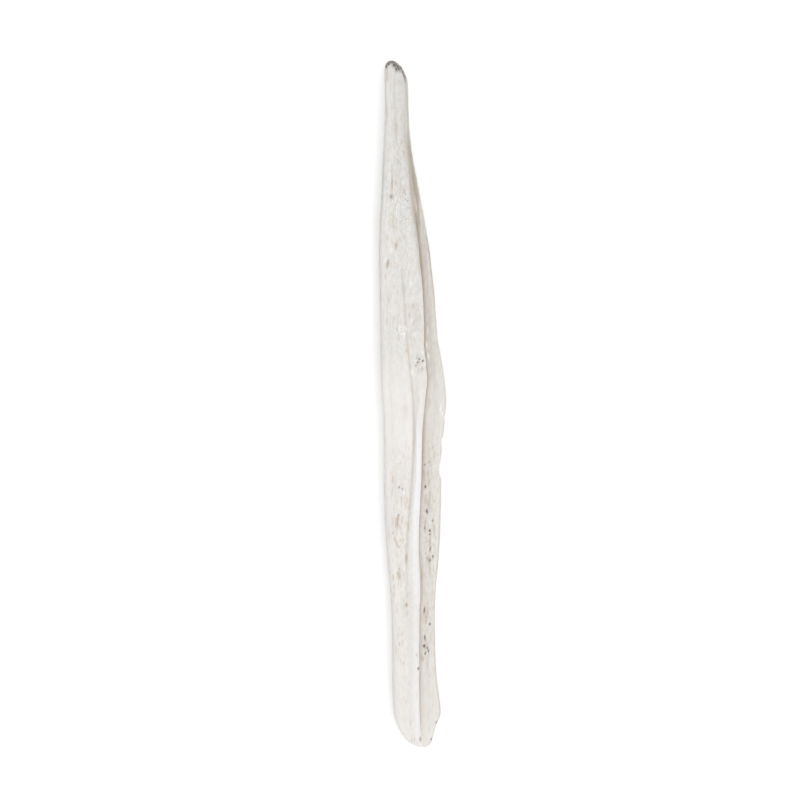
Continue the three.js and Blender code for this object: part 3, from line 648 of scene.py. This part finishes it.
# Finish of the bone
boneFinish = {
    "clean": (0.606, 0.587, 0.56),
    "warm": (0.475, 0.432, 0.362),
    "cool": (0.54, 0.556, 0.544),
    "grey": (0.485, 0.48, 0.465),
    # pale of the speckles, also used for the painted highlight on the crest
    "pale": (0.675, 0.682, 0.695),
    # painted light next to the back edge
    "bright": (0.745, 0.722, 0.697),
    "flake": (0.82, 0.81, 0.78),
    "rosy": (0.6, 0.557, 0.535),
    "ochre": (0.36, 0.3, 0.215),
    # brown of the real streaks and of the painted shade in the groove
    "dirtAndShade": (0.29, 0.19, 0.105),
    # olive of the far wall's tint and painted shade, and of the painted shade along the edges
    "olive": (0.385, 0.35, 0.285),
    # dirt and painted shade at the groove's open end and on the near lip's edge
    "deepOlive": (0.3, 0.27, 0.21),
    # painted shade inside pores and nicks
    "poreShade": (0.05, 0.035, 0.022),
    "residue": (0.085, 0.068, 0.047),
    # noise stretched along the bone: width and length in millimetres, detail, shift, from, to
    "textures": {
        "fibre": (0.16, 3.5, 3.0, 0.0, 0.42, 0.68),
        "broad": (1.2, 6.0, 2.0, 11.0, 0.4, 0.66),
        "mottle": (0.42, 0.9, 3.0, 23.0, 0.45, 0.68),
        "cloud": (0.7, 1.6, 2.0, 67.0, 0.48, 0.7),
        "speckle": (0.2, 0.34, 2.0, 91.0, 0.46, 0.7),
        "fine": (0.1, 0.4, 2.0, 37.0, 0.3, 0.7),
        "crumbs": (0.2, 0.22, 3.0, 51.0, 0.3, 0.55),
    },
    # tints from those, in order: [texture, colour, amount, stronger where the bone is uneven]
    "grainTints": [
        ["fibre", "warm", 0.8, True], ["broad", "cool", 0.45, False], ["mottle", "warm", 0.9, True],
        ["cloud", "cool", 0.9, True], ["speckle", "pale", 0.9, True],
    ],
    # then tints from the masks on the mesh, in order: [mask, colour, amount]; some paint light or shade: the
    # crest highlight, the light by the back edge, the shade along the edges and in the groove
    "maskTints": [
        ["tipGrey", "grey", 0.5], ["rosyTone", "rosy", 0.3], ["flankEdgeLightAndPale", "bright", 0.75],
        ["paintedCrestHighlight", "pale", 0.7], ["valleyTone", "ochre", 0.43], ["farWallTintAndShade", "olive", 0.5],
        ["paintedEdgeShade", "olive", 0.6], ["grooveDirtAndShade", "dirtAndShade", 0.5], ["grooveEndDirtAndShade", "deepOlive", 0.85],
        ["browns", "ochre", 0.7], ["streaks", "dirtAndShade", 0.74], ["pale", "flake", 0.9],
    ],
    "crumbLeast": 0.55,
    "poreAmount": 0.95,
    "roughness": (0.42, 0.62),
    "fibreBump": 0.6,
    "fineBump": 0.4,
    "bumpStrength": 0.35,
    "bumpDepth": 0.03,
    "specular": 0.35,
    "translucence": 0.12,
    "translucenceReach": 0.5,
    "translucenceColour": (1.0, 0.75, 0.5),
}


def addNode(tree, kind, **settings):
    node = tree.nodes.new(kind)
    for name, value in settings.items():
        setattr(node, name, value)
    return node


def fill(node, values):
    for name, value in values.items():
        node.inputs[name].default_value = value
    return node


def makeFibreGroup():
    # soft streaks that run along the bone, in real millimetres
    group = bpy.data.node_groups.new("fibreStreaks", "ShaderNodeTree")
    sockets = {"Fibre Width": 0.3, "Fibre Length": 5.0, "Detail": 2.0, "Shift": 0.0, "From": 0.4, "To": 0.6}
    for name, value in sockets.items():
        group.interface.new_socket(name, in_out="INPUT", socket_type="NodeSocketFloat").default_value = value
    group.interface.new_socket("Streaks", in_out="OUTPUT", socket_type="NodeSocketFloat")
    wire = group.links.new
    inputs = addNode(group, "NodeGroupInput")
    outputs = addNode(group, "NodeGroupOutput")
    place = addNode(group, "ShaderNodeTexCoord")
    scale = addNode(group, "ShaderNodeCombineXYZ")
    toMillimetres = addNode(group, "ShaderNodeVectorMath", operation="SCALE")
    toMillimetres.inputs["Scale"].default_value = 1 / mm
    stretch = addNode(group, "ShaderNodeVectorMath", operation="DIVIDE")
    shifted = addNode(group, "ShaderNodeVectorMath", operation="ADD")
    texture = addNode(group, "ShaderNodeTexNoise")
    texture.inputs["Scale"].default_value = 1.0
    ranged = addNode(group, "ShaderNodeMapRange")
    wire(place.outputs["Object"], toMillimetres.inputs[0])
    for axis, name in (("X", "Fibre Width"), ("Y", "Fibre Length"), ("Z", "Fibre Width")):
        wire(inputs.outputs[name], scale.inputs[axis])
    wire(toMillimetres.outputs[0], stretch.inputs[0])
    wire(scale.outputs[0], stretch.inputs[1])
    wire(stretch.outputs[0], shifted.inputs[0])
    wire(inputs.outputs["Shift"], shifted.inputs[1])
    wire(shifted.outputs[0], texture.inputs["Vector"])
    wire(inputs.outputs["Detail"], texture.inputs["Detail"])
    wire(texture.outputs["Fac"], ranged.inputs["Value"])
    wire(inputs.outputs["From"], ranged.inputs["From Min"])
    wire(inputs.outputs["To"], ranged.inputs["From Max"])
    wire(ranged.outputs["Result"], outputs.inputs["Streaks"])
    return group


def makeBoneMaterial():
    material = bpy.data.materials.new("dryBone")
    material.use_nodes = True
    tree = material.node_tree
    wire = tree.links.new
    shader = tree.nodes["Principled BSDF"]
    fibreGroup = makeFibreGroup()

    def streaks(width, length, detail, shift, low, high):
        node = addNode(tree, "ShaderNodeGroup", node_tree=fibreGroup)
        fill(node, {"Fibre Width": width, "Fibre Length": length, "Detail": detail, "Shift": shift,
                    "From": low, "To": high})
        return node.outputs["Streaks"]

    def mask(name):
        return addNode(tree, "ShaderNodeAttribute", attribute_name=name).outputs["Fac"]

    def times(first, second):
        node = addNode(tree, "ShaderNodeMath", operation="MULTIPLY", use_clamp=True)
        for socket, value in zip(node.inputs, (first, second)):
            if isinstance(value, (int, float)):
                socket.default_value = value
            else:
                wire(value, socket)
        return node.outputs[0]

    def lifted(value, least):
        node = addNode(tree, "ShaderNodeMapRange")
        fill(node, {"To Min": least})
        wire(value, node.inputs["Value"])
        return node.outputs["Result"]

    def tint(under, over, amount):
        # inputs 6 and 7 and output 2 are the colours of this node
        node = addNode(tree, "ShaderNodeMix", data_type="RGBA")
        for socket, value in ((node.inputs[6], under), (node.inputs[7], over)):
            if isinstance(value, tuple):
                socket.default_value = (*value, 1)
            else:
                wire(value, socket)
        wire(amount, node.inputs[0])
        return node.outputs[2]

    textures = {name: streaks(*values) for name, values in boneFinish["textures"].items()}
    uneven = mask("uneven")
    colour = boneFinish["clean"]
    for texture, over, amount, followsUneven in boneFinish["grainTints"]:
        share = times(textures[texture], amount)
        if followsUneven:
            share = times(share, uneven)
        colour = tint(colour, boneFinish[over], share)
    for name, over, amount in boneFinish["maskTints"]:
        colour = tint(colour, boneFinish[over], times(mask(name), amount))
    crumbly = lifted(textures["crumbs"], boneFinish["crumbLeast"])
    colour = tint(colour, boneFinish["residue"], times(mask("tipResidue"), crumbly))
    # painted shade: the pores are made near-black inside
    colour = tint(colour, boneFinish["poreShade"], times(mask("pits"), boneFinish["poreAmount"]))
    wire(colour, shader.inputs["Base Color"])

    roughness = addNode(tree, "ShaderNodeMapRange")
    smoothest, roughest = boneFinish["roughness"]
    fill(roughness, {"To Min": smoothest, "To Max": roughest})
    wire(textures["mottle"], roughness.inputs["Value"])
    wire(roughness.outputs["Result"], shader.inputs["Roughness"])

    height = addNode(tree, "ShaderNodeMath", operation="ADD")
    wire(times(textures["fibre"], boneFinish["fibreBump"]), height.inputs[0])
    wire(times(textures["fine"], boneFinish["fineBump"]), height.inputs[1])
    bump = addNode(tree, "ShaderNodeBump")
    fill(bump, {"Strength": boneFinish["bumpStrength"], "Distance": boneFinish["bumpDepth"] * mm})
    wire(height.outputs[0], bump.inputs["Height"])
    wire(bump.outputs["Normal"], shader.inputs["Normal"])
    fill(shader, {
        "Specular IOR Level": boneFinish["specular"],
        "Subsurface Weight": boneFinish["translucence"],
        "Subsurface Scale": boneFinish["translucenceReach"] * mm,
        "Subsurface Radius": boneFinish["translucenceColour"],
    })
    return material


print("shaping the bone")
bone = addBone()
bone.data.materials.append(makeBoneMaterial())
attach(bone, "root")
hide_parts("baculum")
print("bone done:", len(bone.data.polygons), "faces")

# Pale floor, soft light and the camera that looks straight down, in metres where nothing else is said
studio = {
    "floorSize": 3.0,
    "floorColour": (0.93, 0.93, 0.93),
    "floorRoughness": 0.85,
    "floorSpecular": 0.1,
    "floorDrop": 0.00002,
    "skyStrength": 0.86,
    "keyPower": 3.4,
    "keySize": 0.8,
    "keyFrom": (0.3, -0.38, 1.75),    # direction to the light
    "keyDistance": 0.7,
    "lens": 120.0,
    "cameraAim": (-1.75, 0.67),       # millimetres from the middle of the bone
    "cameraHeight": 378.6,            # millimetres over the floor
}


def addFloor():
    half = studio["floorSize"] / 2
    mesh = bpy.data.meshes.new("floor")
    corners = [(-half, -half), (half, -half), (half, half), (-half, half)]
    mesh.from_pydata([(x, y, -studio["floorDrop"]) for x, y in corners], [], [(0, 1, 2, 3)])
    floor = bpy.data.objects.new("floor", mesh)
    bpy.context.scene.collection.objects.link(floor)
    material = bpy.data.materials.new("paleFloor")
    material.use_nodes = True
    fill(material.node_tree.nodes["Principled BSDF"], {
        "Base Color": (*studio["floorColour"], 1),
        "Roughness": studio["floorRoughness"],
        "Specular IOR Level": studio["floorSpecular"],
    })
    mesh.materials.append(material)


def addLight():
    world = bpy.data.worlds.new("softSky")
    world.use_nodes = True
    fill(world.node_tree.nodes["Background"], {"Color": (1, 1, 1, 1), "Strength": studio["skyStrength"]})
    bpy.context.scene.world = world
    light = bpy.data.lights.new("softKey", "AREA")
    light.shape = "DISK"
    light.size = studio["keySize"]
    light.energy = studio["keyPower"]
    key = bpy.data.objects.new("softKey", light)
    towards = Vector(studio["keyFrom"]).normalized()
    key.location = towards * studio["keyDistance"]
    key.rotation_euler = towards.to_track_quat("Z", "Y").to_euler()
    bpy.context.scene.collection.objects.link(key)


def addCamera():
    data = bpy.data.cameras.new("camera")
    data.lens = studio["lens"]
    camera = bpy.data.objects.new("camera", data)
    aimX, aimY = studio["cameraAim"]
    camera.location = (aimX * mm, aimY * mm, studio["cameraHeight"] * mm)
    bpy.context.scene.collection.objects.link(camera)
    bpy.context.scene.camera = camera


addFloor()
addLight()
addCamera()
bpy.context.scene.view_settings.view_transform = "Standard"
print("studio done")
